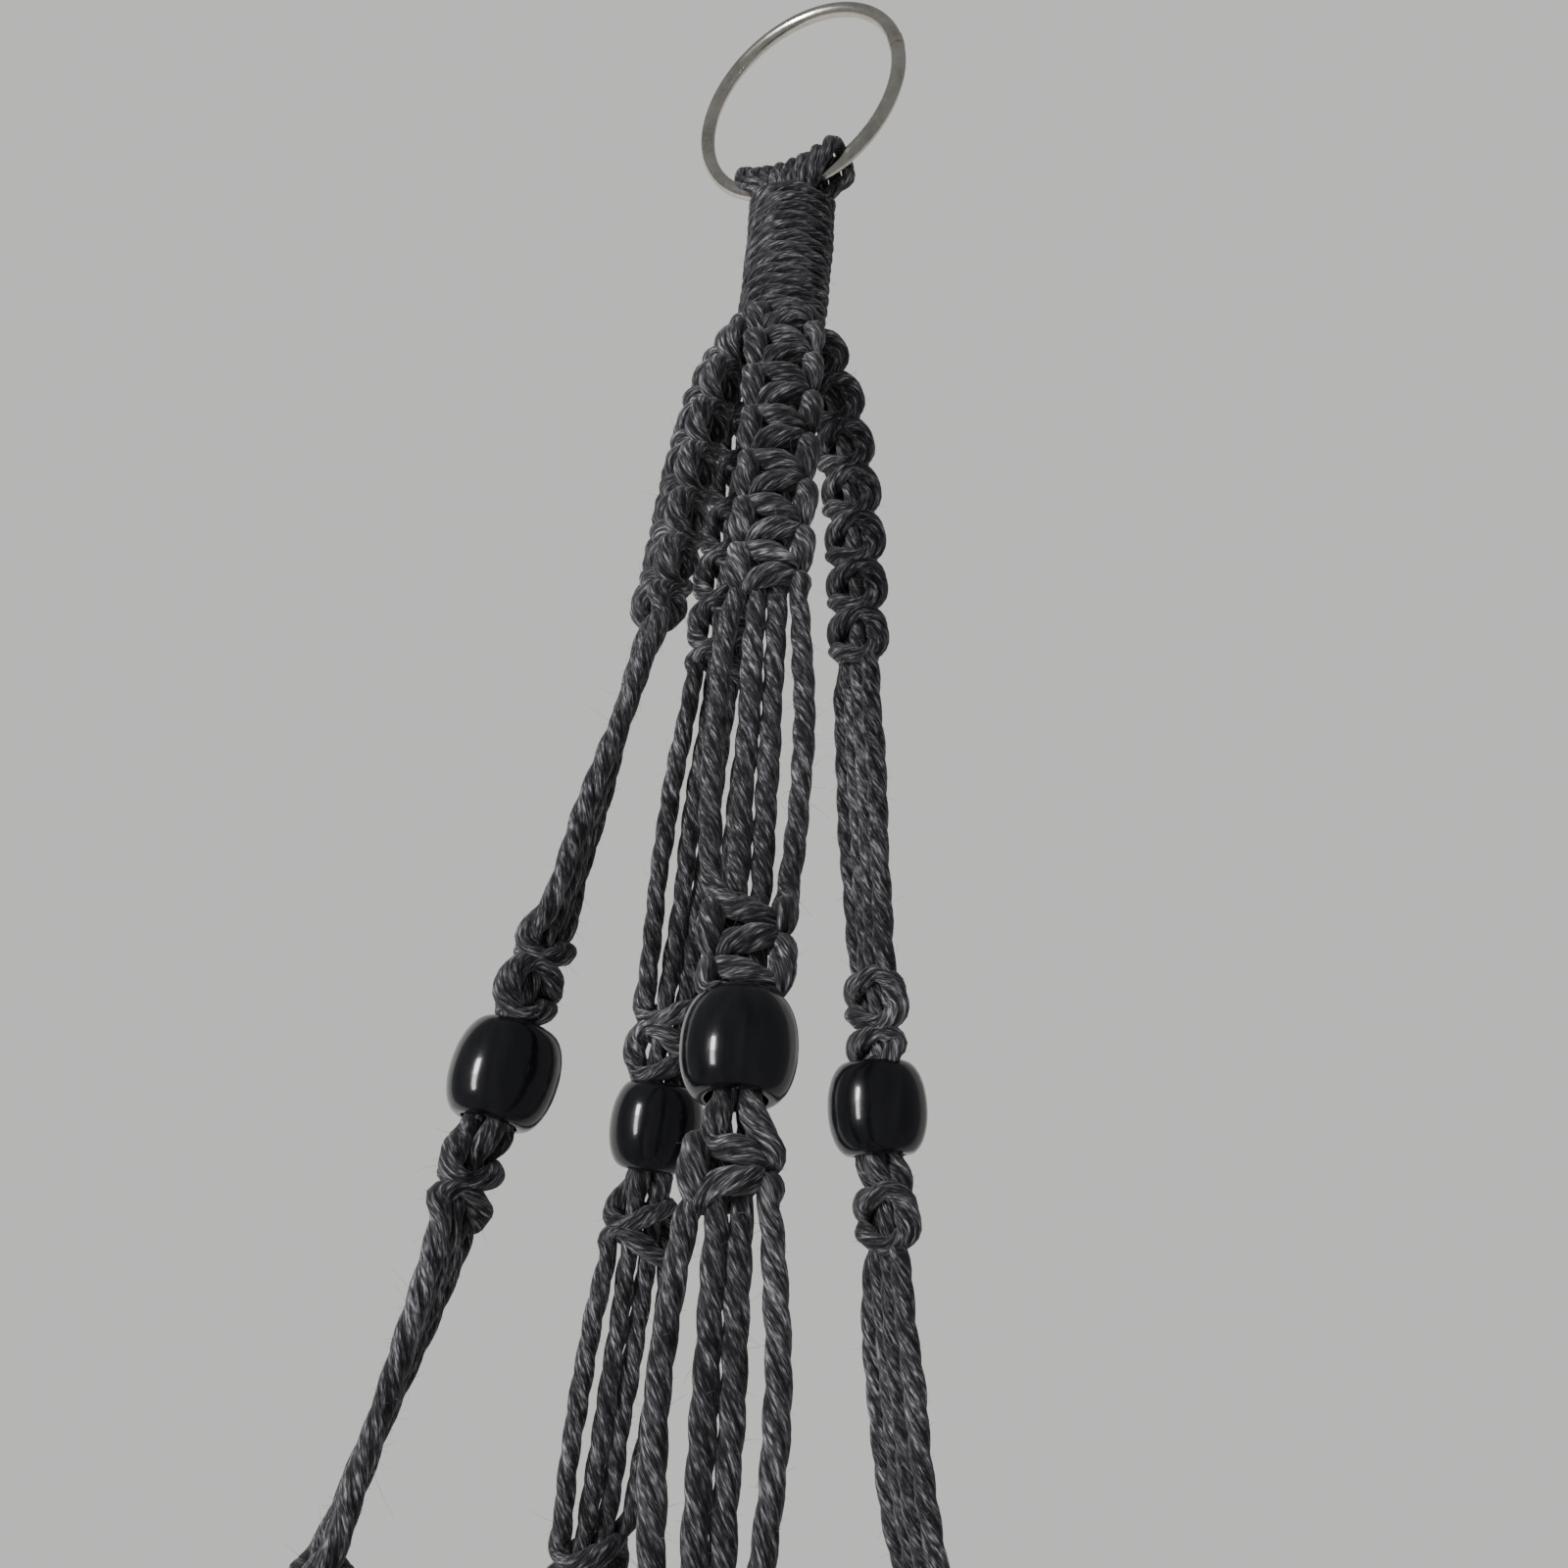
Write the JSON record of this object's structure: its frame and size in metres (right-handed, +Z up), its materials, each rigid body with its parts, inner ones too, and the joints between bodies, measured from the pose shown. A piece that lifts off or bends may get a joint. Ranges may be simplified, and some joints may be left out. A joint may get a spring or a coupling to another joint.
{
  "type": "hanging macrame planter",
  "caption": "Hanging macrame plant holder: a metal ring, knotted cord arms with a black bead on each, an open net for the pot and a tassel.",
  "frame": {"origin": "where a hook bears, at the top of the inside of the hanging ring", "axes": "+Z up; +Y towards the wall behind, -Y towards the room, +X to the right as seen from the room"},
  "size_m": [0.1458, 0.1474, 0.8181],
  "materials": {
    "ring_nickel": "nickel plate, slightly worn",
    "cord_cotton": "soft matt twisted cotton",
    "bead_lacquer": "high gloss black lacquer"
  },
  "bodies": {
    "ring": {"ring": "ring_nickel"},
    "hanger": {"ring_loops": "cord_cotton", "gathered_legs": "cord_cotton", "top_wrap": "cord_cotton", "long_row_front": "cord_cotton", "long_row_right": "cord_cotton", "long_row_back": "cord_cotton", "long_row_left": "cord_cotton", "upper_strands_front": "cord_cotton", "upper_strands_right": "cord_cotton", "upper_strands_back": "cord_cotton", "upper_strands_left": "cord_cotton", "upper_knots_front": "cord_cotton", "upper_knots_right": "cord_cotton", "upper_knots_back": "cord_cotton", "upper_knots_left": "cord_cotton", "lower_knots_front": "cord_cotton", "lower_knots_right": "cord_cotton", "lower_knots_back": "cord_cotton", "lower_knots_left": "cord_cotton", "lower_strands_front": "cord_cotton", "lower_strands_right": "cord_cotton", "lower_strands_back": "cord_cotton", "lower_strands_left": "cord_cotton", "short_row_front": "cord_cotton", "short_row_right": "cord_cotton", "short_row_back": "cord_cotton", "short_row_left": "cord_cotton", "net_strands_front": "cord_cotton", "net_strands_right": "cord_cotton", "net_strands_back": "cord_cotton", "net_strands_left": "cord_cotton", "net_knot_front_right": "cord_cotton", "net_knot_back_right": "cord_cotton", "net_knot_back_left": "cord_cotton", "net_knot_front_left": "cord_cotton", "cross_strands_front_right": "cord_cotton", "cross_strands_back_right": "cord_cotton", "cross_strands_back_left": "cord_cotton", "cross_strands_front_left": "cord_cotton", "cross_knot_front": "cord_cotton", "cross_knot_right": "cord_cotton", "cross_knot_back": "cord_cotton", "cross_knot_left": "cord_cotton", "base_strands_front": "cord_cotton", "base_strands_right": "cord_cotton", "base_strands_back": "cord_cotton", "base_strands_left": "cord_cotton", "base_wrap": "cord_cotton", "tassel_front": "cord_cotton", "tassel_right": "cord_cotton", "tassel_back": "cord_cotton", "tassel_left": "cord_cotton"},
    "bead_front": {"bead_front": "bead_lacquer"},
    "bead_right": {"bead_right": "bead_lacquer"},
    "bead_back": {"bead_back": "bead_lacquer"},
    "bead_left": {"bead_left": "bead_lacquer"}
  },
  "joints": [
    {"name": "ring_swing", "type": "hinge", "parent": "ring", "child": "hanger", "pos_m": [0, 0, -0.05045], "axis": [0.866, -0.5, 0], "range_deg": [-50, 50]},
    {"name": "bead_front_spin", "type": "hinge", "parent": "hanger", "child": "bead_front", "pos_m": [0.00425, -0.04042, -0.26651], "axis": [0.0207, -0.1971, -0.9802], "continuous": true},
    {"name": "bead_right_spin", "type": "hinge", "parent": "hanger", "child": "bead_right", "pos_m": [0.03083, 0.01438, -0.26642], "axis": [0.0998, 0.0465, -0.9939], "continuous": true},
    {"name": "bead_back_spin", "type": "hinge", "parent": "hanger", "child": "bead_back", "pos_m": [-0.01468, 0.03634, -0.26984], "axis": [-0.0666, 0.1648, -0.9841], "continuous": true},
    {"name": "bead_left_spin", "type": "hinge", "parent": "hanger", "child": "bead_left", "pos_m": [-0.03899, -0.01497, -0.26934], "axis": [-0.1807, -0.0694, -0.9811], "continuous": true}
  ]
}
